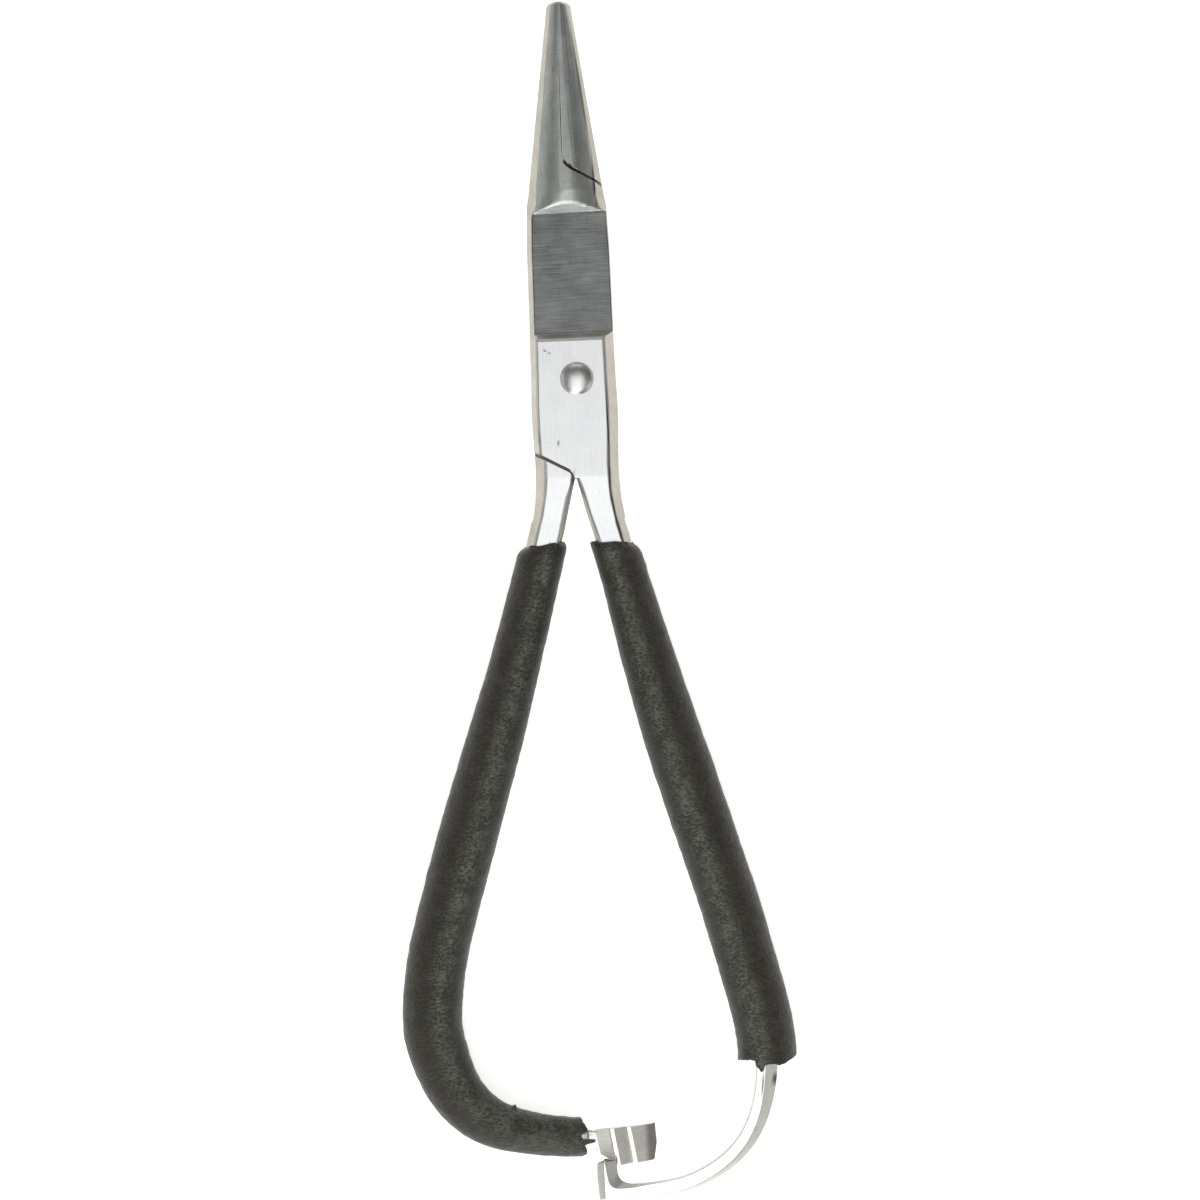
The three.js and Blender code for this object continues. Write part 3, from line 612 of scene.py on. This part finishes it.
def domedRivet():
    # a profile of radius and height, turned about the rivet's axis: x = r cos a, y = r sin a
    facts = rivetFacts
    arc = np.linspace(0, pi / 2, facts["rings"])
    inwards, up = facts["corner"]
    def dome(radius, height):
        r = radius * np.cos(arc)
        r[-1] = 0.0
        seat, rise = facts["seat"], np.sin(arc) ** facts["fullness"]
        z = seat + facts["rim"] + (height - facts["rim"]) * rise
        return np.concatenate([[[facts["shank"], seat], [radius - inwards, seat],
                                [radius, seat + up]], np.stack([r, z], 1)])
    head = dome(facts["head"], facts["headHeight"])[::-1]
    tail = dome(facts["tail"], facts["tailHeight"]) * [1, -1]
    profile = np.concatenate([head, tail])
    turn = np.linspace(0, 2 * pi, facts["around"], endpoint=False)
    x = rivetX + profile[:, :1] * np.cos(turn)
    y = profile[:, :1] * np.sin(turn)
    z = np.repeat(profile[:, 1:], facts["around"], axis=1)
    mesh = meshFromGrid("rivet", np.stack([x, y, z], -1), wrapU=True)
    sharpenOver(mesh, 40)
    return addPiece("domed_rivet", mesh, "front_lever", "pivot_rivet", [domeChrome])


domedRivet()
print("rivet made")


def smoothPath(points, perSegment=80):
    # centripetal Catmull-Rom: between two points a cubic whose end slopes weigh the neighbouring
    # chords by the square root of their lengths; then resampled to even lengths
    p = np.asarray(points, float)
    p = np.vstack([2 * p[0] - p[1], p, 2 * p[-1] - p[-2]])
    step = np.linalg.norm(np.diff(p, axis=0), axis=1) ** 0.5
    a, b, c, d = p[:-3], p[1:-2], p[2:-1], p[3:]
    s0, s1, s2 = (s[:, None] for s in (step[:-2], step[1:-1], step[2:]))
    slopeB = ((b - a) / s0 - (c - a) / (s0 + s1) + (c - b) / s1) * s1
    slopeC = ((c - b) / s1 - (d - b) / (s1 + s2) + (d - c) / s2) * s1
    t = np.linspace(0, 1, perSegment, endpoint=False)[None, :, None]
    b, c, slopeB, slopeC = (v[:, None] for v in (b, c, slopeB, slopeC))
    cubic = b + slopeB * t + (-3 * b + 3 * c - 2 * slopeB - slopeC) * t**2
    cubic = cubic + (2 * b - 2 * c + slopeB + slopeC) * t**3
    dense = np.vstack([cubic.reshape(-1, 2), p[-2]])
    length = np.concatenate([[0], np.cumsum(np.linalg.norm(np.diff(dense, axis=0), axis=1))])
    even = np.linspace(0, length[-1], 4000)
    xy = np.stack([np.interp(even, length, dense[:, k]) for k in (0, 1)], 1)
    slope = np.gradient(xy, even, axis=0)
    slope = slope / np.linalg.norm(slope, axis=1)[:, None]
    return {"length": even, "xy": xy, "slope": slope}


def onPath(path, length):
    # place and direction at a length along the path; straight on past its end
    past = np.clip(length - path["length"][-1], 0, None)[..., None]
    xy = np.stack([np.interp(length, path["length"], path["xy"][:, k]) for k in (0, 1)], -1)
    slope = np.stack([np.interp(length, path["length"], path["slope"][:, k]) for k in (0, 1)], -1)
    return xy + slope * past, slope


rightRoute = smoothPath([
    (3.41, -17.1), (4.875, -22.5), (6.69, -30), (9.32, -39.98), (12.23, -50.03), (15.19, -60),
    (17.78, -69.98), (18.97, -75), (19.44, -79.13), (19.31, -81.38),
])
leftRoute = smoothPath([
    (-3.73, -17.1), (-5.23, -22.5), (-7.33, -30), (-10.36, -39.98), (-13.65, -50.03),
    (-16.75, -60), (-18.9, -68.03), (-19.58, -75), (-18.9, -78.4), (-17.61, -81.9),
    (-15.6, -84.7), (-12.79, -86.7), (-8.7, -87.91), (-3.6, -88.6), (-1.95, -88.6),
])


def smoothstep(x, low, high):
    # 0 below low, 1 above high, and between them t squared times 3 less 2 t
    t = np.clip((x - low) / (high - low), 0, 1)
    return t * t * (3 - 2 * t)


def grainNoise(shape, seed, coarse, stretch):
    # seeded white noise, blurred in the frequency plane so that it repeats round the sleeve;
    # coarse is the feature size in cells, stretch how much longer it is round than along
    rng = np.random.default_rng(seed)
    white = np.fft.fft2(rng.standard_normal(shape))
    fv = np.fft.fftfreq(shape[0])[:, None] * coarse
    fu = np.fft.fftfreq(shape[1])[None, :] * coarse * stretch
    soft = np.real(np.fft.ifft2(white * np.exp(-((fu**2 + fv**2) * 6))))
    return soft / soft.std()


sleeves = {
    "startY": -19.1,
    "bowLength": 60,  # a length along the left route that lies past its widest place
    "around": 132, "cell": 0.2,  # mesh cells, mm along
    "topRadius": 2.75, "radius": 3.5, "flattening": 0.94, "bore": 0.08,
    "pebble": 0.016, "ripple": 0.018, "tornWave": 0.05, "mouthWave": 0.07,  # heights, mm
    "mouthDrop": 0.62,  # how deep the mouth's rounding goes, as a share of its length
    "lipWall": 0.08, "lipLength": 2.5,  # least wall near the mouth, and for how far, mm
    "boreMost": 1.98, "boreMouth": 0.3, "boreMouthLength": 3,  # widest bore, more by the mouth
    "tornLength": 3.5, "mouthLength": 4.5,  # how far the two cuts' waves reach along, mm
    "roomFrom": 9.5, "roomFull": 7.5,  # where the bore widens, back from the torn end, mm
}


# the bar's section outside and inside the sleeve, mm: half its width, the draft of its sides, and
# half its height
bar = {"half": (2.025, 1.6), "draft": (0.7, 0.5), "edge": (1.75, 1.35)}


def barRadius(xy, turn):
    # distance from the bar's middle to its six-sided section in a direction: the nearest of the
    # six sides, each side's distance over the cosine of the angle from it; the section narrows
    # over the first 4 mm inside the sleeve
    inside = smoothstep(-xy[..., 1], -sleeves["startY"], 4 - sleeves["startY"])
    half, draft, edge = (outer + (inner - outer) * inside for outer, inner in bar.values())
    lean = np.arctan2(draft, edge)
    side = half * np.cos(lean)
    c, s = np.abs(np.cos(turn)), np.abs(np.sin(turn))
    facing = np.maximum(c * np.cos(lean) + s * np.sin(lean), 1e-6)
    return np.minimum(edge / np.maximum(s, 1e-6), side / facing)


def lengthAtY(route, y):
    # length along the route where it first passes a height in plan
    return float(route["length"][np.argmax(route["xy"][:, 1] <= y)])


def lengthTo(route, own):
    # length along the route to a sleeve's cut end, set by Y or, past the bow, by X
    if "endY" in own:
        return lengthAtY(route, own["endY"])
    pastBow = (route["xy"][:, 0] >= own["endX"]) & (route["length"] > sleeves["bowLength"])
    return float(route["length"][np.argmax(pastBow)])


def sleeve(name, route, own, body, node):
    # a round section carried along the handle's route: out over the mouth, down the skin,
    # over the torn end and back up the bore, closed on itself
    facts = sleeves
    start = lengthAtY(route, facts["startY"])
    length = lengthTo(route, own) - start
    seed = own["seed"]
    turn = np.linspace(0, 2 * pi, facts["around"], endpoint=False)[None, :]
    lip = np.array([0, 0.04, 0.12, 0.24, 0.4, 0.6, 0.85])
    skin = np.linspace(1.1, length, int(length / facts["cell"]))
    down = np.concatenate([lip, skin])[:, None]
    share = down / length
    growth = smoothstep(share, 0, 0.45)
    radius = facts["topRadius"] + (facts["radius"] - facts["topRadius"]) * growth
    radius = radius + (own["endRadius"] - radius) * smoothstep(share, 0.7, 1)
    # the mouth's rounding, longer on the outer side than on the inner one
    away, towards = own["mouthRound"]
    reach = away + (towards - away) * (1 + np.cos(turn)) / 2
    drop = 1 - np.sqrt(np.clip(1 - (1 - np.clip(down / reach, 0, 1)) ** 2, 0, 1))
    radius = radius - drop * reach * facts["mouthDrop"]
    _, mouthSlope = onPath(route, np.array([start]))
    slant = -mouthSlope[0, 0] / mouthSlope[0, 1]  # brings the mouth square to Y
    shape = (down.shape[0], facts["around"])
    fade = smoothstep(down, 0.1, 1.2)
    radius = radius + fade * facts["pebble"] * grainNoise(shape, seed, 2.6, 1.9)
    radius = radius + fade * facts["ripple"] * grainNoise(shape, seed + 1, 16, 1.0)
    for nib in own["nibs"]:
        # a bell-shaped bump, falling off with the square of the distance along and round
        sideways = ((turn / pi - nib["turn"] + 1) % 2 - 1) * pi * nib["radius"]
        radius = radius + nib["height"] * np.exp(
            -(((down - nib["down"]) / nib["length"]) ** 2 + (sideways / nib["width"]) ** 2))
    # the torn end: the last few millimetres stretch or shorten by the cut
    places, tear = np.array(own["tear"]).T
    torn = np.interp(turn / pi, places, tear, period=2)
    torn = torn + facts["tornWave"] * grainNoise((1, facts["around"]), seed + 2, 3, 1.0)
    mouthWave = facts["mouthWave"] * grainNoise((1, facts["around"]), seed + 3, 9, 1.0)
    at = start + down + torn * smoothstep(down, length - facts["tornLength"], length)
    mouthCut = mouthWave + slant * facts["topRadius"] * np.cos(turn)
    at = at + mouthCut * (1 - smoothstep(down, 0, facts["mouthLength"]))
    xyOut, slopeOut = onPath(route, at)
    lipLeast = barRadius(xyOut, turn) + facts["bore"] + facts["lipWall"]
    radius = np.where(down < facts["lipLength"], np.maximum(radius, lipLeast), radius)
    # the bore, a little clear of the bar, from the end back to the mouth
    back = np.concatenate([[length], np.linspace(length - 0.35, 0.3, 60), [0.05]])[:, None]
    atIn = start + back + torn * smoothstep(back, length - facts["tornLength"], length)
    atIn = atIn + mouthCut * (1 - smoothstep(back, 0, facts["mouthLength"]))
    xyIn, slopeIn = onPath(route, np.broadcast_to(atIn, (back.shape[0], facts["around"])))
    # with room near its end for what flexes there
    most = facts["boreMost"] + facts["boreMouth"] * (back < facts["boreMouthLength"])
    inner = np.minimum(barRadius(xyIn, turn) + facts["bore"], most)
    inner = inner + own["room"] * smoothstep(back, length - facts["roomFrom"],
                                             length - facts["roomFull"])
    wall = np.concatenate([radius, inner])
    xy = np.concatenate([xyOut, xyIn])
    slope = np.concatenate([slopeOut, slopeIn])
    flat = np.concatenate([np.full(radius.shape, facts["flattening"]), np.ones(inner.shape)])
    side = wall * np.cos(turn)
    x = xy[..., 0] - slope[..., 1] * side
    y = xy[..., 1] + slope[..., 0] * side
    z = wall * flat * np.sin(turn)
    mesh = meshFromGrid(name, np.stack([x, y, z], -1), wrapU=True, wrapV=True)
    sharpenOver(mesh, 60)
    return addPiece(name, mesh, body, node, [gripRubber])


rightSleeve = {
    "endY": -80.2, "endRadius": 3.45, "mouthRound": (0.25, 1.9), "room": 0.55, "seed": 11,
    "nibs": [],
    # how far the torn end reaches past the cut, in mm, round the sleeve in half turns from +across
    "tear": [
        (0.0, -0.6), (0.1, -0.45), (0.2, -0.15), (0.295, 0.15), (0.35, 0.2), (0.37, 0.45),
        (0.4, 0.25), (0.5, 0.4), (0.545, 0.6), (0.56, 1.25), (0.577, 1.4), (0.6, 1.0),
        (0.635, 0.8), (0.65, 0.1), (0.754, -0.05), (0.856, -0.05), (0.94, 0.4), (0.97, 0.45),
        (1.0, 0.1), (1.1, -0.2), (1.25, 0.2), (1.4, 0.0), (1.6, 0.35), (1.8, -0.3),
    ],
}
leftSleeve = {
    "endX": -2.6, "endRadius": 2.3, "mouthRound": (1.7, 1.0), "room": 0.0, "seed": 23,
    "nibs": [{"turn": 0.06, "height": 0.45, "down": 74.0, "length": 0.25, "width": 0.6,
              "radius": 2.6}],
    "tear": [
        (0.0, -0.06), (0.18, 0.12), (0.28, 0.53), (0.343, 0.68), (0.389, 0.47), (0.41, 0.0),
        (0.449, -0.06), (0.5, 0.05), (0.515, 1.1), (0.53, 1.5), (0.555, 1.5), (0.57, 0.9),
        (0.602, 0.23), (0.67, 0.1), (0.74, 0.18), (0.804, 0.41), (0.85, 0.0), (0.896, -0.1),
        (1.0, 0.0), (1.2, 0.3), (1.35, -0.1), (1.6, 0.25), (1.8, 0.0),
    ],
}

# +across is the outer side of the right handle and the inner side of the left one
sleeve("right_sleeve", rightRoute, rightSleeve, "front_lever", "right_grip")
sleeve("left_sleeve", leftRoute, leftSleeve, "back_lever", "left_grip")
print("sleeves made")


armFacts = {
    "root": 1.47, "end": 0.85, "rootHeight": 0.9, "endHeight": 0.6,
    "rootBevel": 1.55, "endBevel": 0.25, "innerBevel": 0.12, "lift": 1.65,
    "hookFrom": 5.33,  # where the drawn rails of the hook take over from the route, mm
    "round": 0.1, "stations": 200, "hookStations": 120,
    "joinStations": 8, "windows": (5, 5, 19, 19),  # where rail and hook join, and its smoothing
    "tip": [(0.4, 0.02), (0.75, 0.06), (1.0, 0.12)],  # forward in roundings, and inwards
}
latchRoute = smoothPath([
    (18.78, -73.8), (19.3, -78), (19.34, -81), (18.86, -84.4), (17.84, -87.5), (16.19, -90.1),
    (13.65, -92.3), (9.75, -94.1), (5.07, -94.85), (2.55, -95),
])
# the hook's four long edges in plan: outer edge, outer crease, inner crease, inner edge
hookShares = [0, 0.25, 0.42, 0.5, 0.58, 0.8, 1]  # where along the hook its rails' places are
cornerSteps = 5  # points round each corner of the strip's section
hookRails = np.array([
    [(2.95, -95.74), (0.3, -95.82), (-0.87, -95.85), (-0.95, -94.9), (-1.08, -93.2),
     (-1.04, -91.6)],
    [(2.95, -95.48), (0.6, -95.62), (-0.2, -95.64), (-0.2, -94.9), (-0.2, -93.2),
     (-0.22, -91.35)],
    [(2.98, -94.39), (1.21, -94.48), (0.55, -94.25), (0.27, -93.7), (0.05, -92.4),
     (-0.12, -91.2)],
    [(2.99, -94.02), (2.06, -93.77), (1.65, -93.4), (1.45, -92.9), (1.37, -92.0),
     (1.35, -91.12)],
])


def eased(values, window):
    # a moving average along the first axis, its ends held
    if window < 3:
        return values
    kernel = np.hanning(window + 2)[1:-1]
    kernel = kernel / kernel.sum()
    half = window // 2
    padded = np.concatenate([2 * values[:1] - values[half:0:-1], values,
                             2 * values[-1:] - values[-2:-half - 2:-1]])
    return np.stack([np.convolve(padded[:, k], kernel, "valid") for k in range(2)], 1)


def roundedRing(corners, radius):
    # each corner of a ring of points gives way to a short quadratic curve between its two sides
    before = np.roll(corners, 1, axis=1) - corners
    after = np.roll(corners, -1, axis=1) - corners
    def cut(sides):
        length = np.linalg.norm(sides, axis=-1, keepdims=True)
        return corners + sides * np.minimum(radius / np.maximum(length, 1e-9), 0.42)
    start, end = cut(before)[:, :, None], cut(after)[:, :, None]
    t = np.linspace(0, 1, cornerSteps)[None, None, :, None]
    curve = start * (1 - t) ** 2 + corners[:, :, None] * 2 * t * (1 - t) + end * t**2
    return curve.reshape(corners.shape[0], -1, 3)


def latchStrip():
    # six corners carried along the route: four edges in plan, the two creases above and below
    facts = armFacts
    whole = latchRoute["length"][-1]
    nearHook = (latchRoute["xy"][:, 0] <= facts["hookFrom"]) & (latchRoute["length"] > whole / 2)
    last = latchRoute["length"][np.argmax(nearHook)]
    length = np.linspace(0, last, facts["stations"])
    xy, slope = onPath(latchRoute, length)
    share = (length / whole)[:, None]
    half = facts["root"] + (facts["end"] - facts["root"]) * share
    narrowing = smoothstep(share, 0.1, 0.95)
    bevel = facts["rootBevel"] + (facts["endBevel"] - facts["rootBevel"]) * narrowing
    square = np.stack([-slope[:, 1], slope[:, 0]], 1)
    rails = [xy + square * u for u in (half, half - bevel, facts["innerBevel"] - half, -half)]
    t = np.linspace(0, 1, facts["hookStations"])[1:]
    joined = []
    join = facts["joinStations"]
    for rail, drawn, window in zip(rails, hookRails, facts["windows"]):
        keys = np.vstack([rail[-1], drawn])
        hook = np.stack([np.interp(t, hookShares, keys[:, k]) for k in (0, 1)], 1)
        joined.append(np.vstack([rail[:-join], eased(np.vstack([rail[-join:], hook]), window)]))
    stations = joined[0].shape[0]
    shares = np.concatenate([share[:, 0], np.full(stations - len(length), share[-1, 0])])
    middle = facts["lift"] * smoothstep(shares, 0.25, 0.9)
    thick = facts["rootHeight"] + (facts["endHeight"] - facts["rootHeight"]) * shares
    outer, outerCrease, innerCrease, inner = joined
    corners = np.stack([np.column_stack([plan, middle + lift * thick]) for plan, lift in (
        (outer, 0), (outerCrease, 1), (innerCrease, 1), (inner, 0), (innerCrease, -1),
        (outerCrease, -1))], 1)
    rings = roundedRing(corners, facts["round"])
    # the hook's end, drawn in over a small radius
    tip = rings[-1]
    centre = tip.mean(0)
    closing = [tip + (centre - tip) * inwards + np.array([0, facts["round"] * forward, 0])
               for forward, inwards in facts["tip"]]
    points = np.concatenate([rings, np.stack(closing)])
    mesh = meshFromGrid("latch_strip", points, wrapU=True, capStart=True, capEnd=True)
    sharpenOver(mesh, 50)
    # of the section's six sides, from one corner's middle to the next, all but the two broad ones
    # are sheared edges, with their own finish
    column = np.arange(points.shape[1])
    sides = ((column - cornerSteps // 2) // cornerSteps) % 6
    edges = (sides != 1) & (sides != 4)
    zone = np.append(np.tile(edges, points.shape[0] - 1), [False, False]).astype(int)
    mesh.polygons.foreach_set("material_index", zone)
    addPiece("latch_strip", mesh, "latch_spring", "latch_arm",
             [stripChrome, edgeChrome])


pawlFacts = {
    "profile": [(0.995, 0.55), (1.34, 1.45), (0.17, 1.45), (0.545, 0.55)],  # X and height, mm
    "near": -91.91, "far": -91.15, "edge": 0.04, "edgeSegments": 2,
}


def pawlUnderHook():
    # a four-sided profile run straight along Y, with its edges rounded
    facts = pawlFacts
    profile = np.array(facts["profile"])
    rows = [np.column_stack([profile[:, 0], np.full(4, y), profile[:, 1]])
            for y in (facts["near"], facts["far"])]
    mesh = meshFromGrid("latch_pawl", np.stack(rows), wrapU=True, capStart=True, capEnd=True)
    sharpenOver(mesh, 30)
    weighEdges(mesh, facts["edge"], 30, lambda middle: 1.0)
    piece = addPiece("latch_pawl", mesh, "latch_spring", "latch_arm", [stripChrome])
    roundEdges(piece, facts["edge"], facts["edgeSegments"])


latchStrip()
pawlUnderHook()
print("latch arm made")


studio = {  # metres, and brightness as a mirror shows it
    "floor": "#F4F4F2", "floorGlow": 0.78, "floorRough": 0.9, "floorHalf": 3.0,
    "floorDrop": 0.0001, "sky": "#FFFFFF", "skyStrength": 0.13,
    "overhead": (0.0, -0.235, 0.66), "overheadSize": (0.5, 0.87), "overheadGlow": 1.5,
    "right": (0.55, -0.3, 0.3), "rightSize": (0.4, 0.3), "rightGlow": 0.9,
    "left": (-0.6, 0.0, 0.25), "leftSize": (0.6, 0.25), "leftGlow": 0.7,
    "front": (-0.06, -0.45, 0.46), "frontSize": (0.4, 0.22), "frontGlow": 1.0,
    "low": (-0.14, -0.6, 0.18), "lowSize": (0.36, 0.16), "lowGlow": 5.0,
    "rear": (0.0, 0.6, 0.3), "rearSize": (0.5, 0.25), "rearGlow": 1.0,
    # the camera looks straight down: millimetres across the picture and its middle, and degrees
    "lens": 100.0, "sensor": 36.0, "across": 140.6, "middle": (2.04, -25.87), "turn": -2.35,
}


def plainFloor():
    half = studio["floorHalf"]
    mesh = bpy.data.meshes.new("floor")
    mesh.from_pydata([(-half, -half, 0), (half, -half, 0), (half, half, 0), (-half, half, 0)], [],
                     [(0, 1, 2, 3)])
    floor = bpy.data.objects.new("floor", mesh)
    bpy.context.scene.collection.objects.link(floor)
    floor.location.z = -studio["floorDrop"]
    material, _, shader, _ = newMaterial("plain pale floor")
    shader.inputs["Base Color"].default_value = linear(studio["floor"])
    shader.inputs["Emission Color"].default_value = linear(studio["floor"])
    shader.inputs["Emission Strength"].default_value = studio["floorGlow"]
    shader.inputs["Roughness"].default_value = studio["floorRough"]
    mesh.materials.append(material)


def softbox(name, place, aim, size, glow):
    # glow is the brightness of its face as a mirror shows it, 1 being white
    light = bpy.data.lights.new(name, "AREA")
    light.shape = "RECTANGLE"
    light.size, light.size_y = size
    light.energy = glow * pi * size[0] * size[1]
    lamp = bpy.data.objects.new(name, light)
    bpy.context.scene.collection.objects.link(lamp)
    lamp.location = place
    lamp.rotation_euler = (Vector(aim) - Vector(place)).to_track_quat("-Z", "Y").to_euler()
    return lamp


plainFloor()
for side in ("overhead", "right", "left", "front", "low", "rear"):
    softbox(side + " softbox", studio[side], (0, 0, 0), studio[side + "Size"],
            studio[side + "Glow"])
world = bpy.data.worlds.new("studio walls")
bpy.context.scene.world = world
world.use_nodes = True
backdrop = world.node_tree.nodes["Background"]
backdrop.inputs["Color"].default_value = linear(studio["sky"])
backdrop.inputs["Strength"].default_value = studio["skyStrength"]
bpy.context.scene.view_settings.view_transform = "Standard"

lens = bpy.data.cameras.new("camera")
lens.lens = studio["lens"]
lens.sensor_width = studio["sensor"]
camera = bpy.data.objects.new("camera", lens)
bpy.context.scene.collection.objects.link(camera)
distance = studio["across"] * studio["lens"] / lens.sensor_width
middleX, middleY = studio["middle"]
camera.location = ((lapX + middleX) * mm, (lapY + middleY) * mm, (midZ + distance) * mm)
camera.rotation_euler = (0, 0, radians(studio["turn"]))
lens.clip_start, lens.clip_end = 0.01, 20
bpy.context.scene.camera = camera
print("floor, light and camera made")
